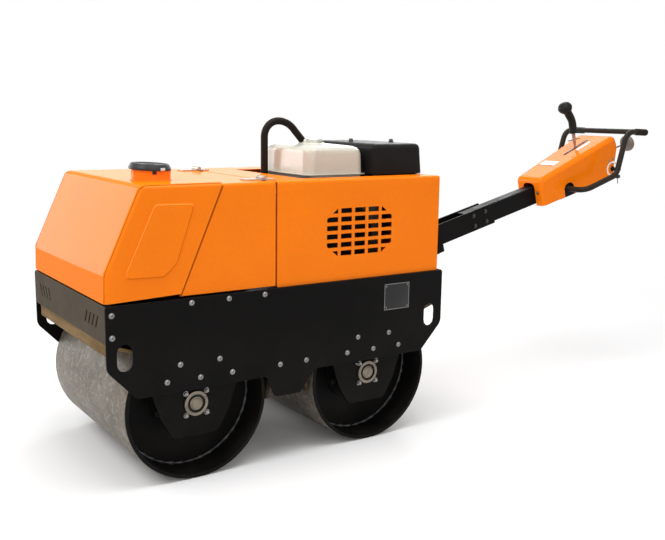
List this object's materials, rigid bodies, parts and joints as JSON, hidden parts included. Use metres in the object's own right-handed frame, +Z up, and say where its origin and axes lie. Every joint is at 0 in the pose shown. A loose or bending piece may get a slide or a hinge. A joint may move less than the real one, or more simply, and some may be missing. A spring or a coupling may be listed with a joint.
{
  "type": "walk-behind double-drum vibratory roller",
  "caption": "Walk-behind vibratory roller: steel drums between black side plates, orange hood and engine cowl, engine on top, and a folding handle with control box.",
  "frame": {"origin": "centre of the whole machine's bounding box in plan, on the ground the drums stand on", "axes": "+X forward, towards the nose; +Y to the machine's left, the side the picture shows; +Z up"},
  "size_m": [2.4052, 0.623, 1.065],
  "materials": {
    "orange_paint": "satin powder coat",
    "black_paint": "satin powder coat",
    "grey_paint": "satin paint, dusty",
    "drum_steel": "rolled steel with mottled mill scale",
    "bare_steel": "machined steel with a light rust bloom",
    "plated_steel": "zinc plated",
    "cream_paint": "gloss enamel",
    "black_plastic": "moulded, fine grain",
    "cap_plastic": "moulded",
    "grip_plastic": "moulded",
    "tank_plastic": "rotomoulded",
    "black_rubber": "smooth rubber",
    "tan_board": "cast polyurethane",
    "grey_plastic": "moulded",
    "engine_metal": "cast"
  },
  "bodies": {
    "frame": {"side_plate_left": "black_paint", "side_plate_right": "black_paint", "front_cross_plate": "grey_paint", "rear_cross_plate": "black_paint", "deck": "black_paint", "centre_crossbeam": "black_paint", "front_scraper": "tan_board", "rear_scraper": "tan_board", "front_drum_inner_scraper": "tan_board", "rear_drum_inner_scraper": "tan_board", "front_left_carrier": "black_paint", "front_right_carrier": "black_paint", "rear_left_carrier": "black_paint", "rear_right_carrier": "black_paint", "front_left_bearing": "bare_steel", "front_right_bearing": "bare_steel", "rear_left_bearing": "bare_steel", "rear_right_bearing": "bare_steel", "rear_cowl": "orange_paint", "engine_block": "engine_metal", "fuel_tank": "cream_paint", "fuel_cap": "plated_steel", "air_cleaner": "black_plastic", "breather_hose": "black_rubber", "water_tank": "tank_plastic", "hood_hinge_foot_left": "plated_steel", "hood_hinge_foot_right": "plated_steel", "handle_bracket": "black_paint"},
    "front_drum_body": {"front_drum": "drum_steel"},
    "rear_drum_body": {"rear_drum": "drum_steel"},
    "hood": {"hood_nose": "orange_paint", "hood_panel": "orange_paint", "filler_neck": "orange_paint", "filler_cap": "cap_plastic", "hood_hinge_left": "plated_steel", "hood_hinge_right": "plated_steel"},
    "handle": {"handle_fork": "black_paint", "arm_tube": "black_paint", "control_box": "orange_paint", "handlebar": "black_paint", "grip_left": "black_rubber", "grip_right": "black_rubber", "travel_lever": "plated_steel", "lever_grip": "grip_plastic", "stop_button": "grey_plastic"}
  },
  "joints": [
    {"name": "front_drum_spin", "type": "hinge", "parent": "frame", "child": "front_drum_body", "pos_m": [0.93965, 0, 0.2125], "axis": [0, 1, 0], "continuous": true},
    {"name": "rear_drum_spin", "type": "hinge", "parent": "frame", "child": "rear_drum_body", "pos_m": [0.35265, 0, 0.2125], "axis": [0, 1, 0], "continuous": true},
    {"name": "hood_hinge", "type": "hinge", "parent": "frame", "child": "hood", "pos_m": [0.69315, 0, 0.8263], "axis": [0, -1, 0], "range_deg": [0, 60]},
    {"name": "handle_hinge", "type": "hinge", "parent": "frame", "child": "handle", "pos_m": [-0.01985, 0, 0.55], "axis": [0, 1, 0], "range_deg": [0, 65]}
  ]
}
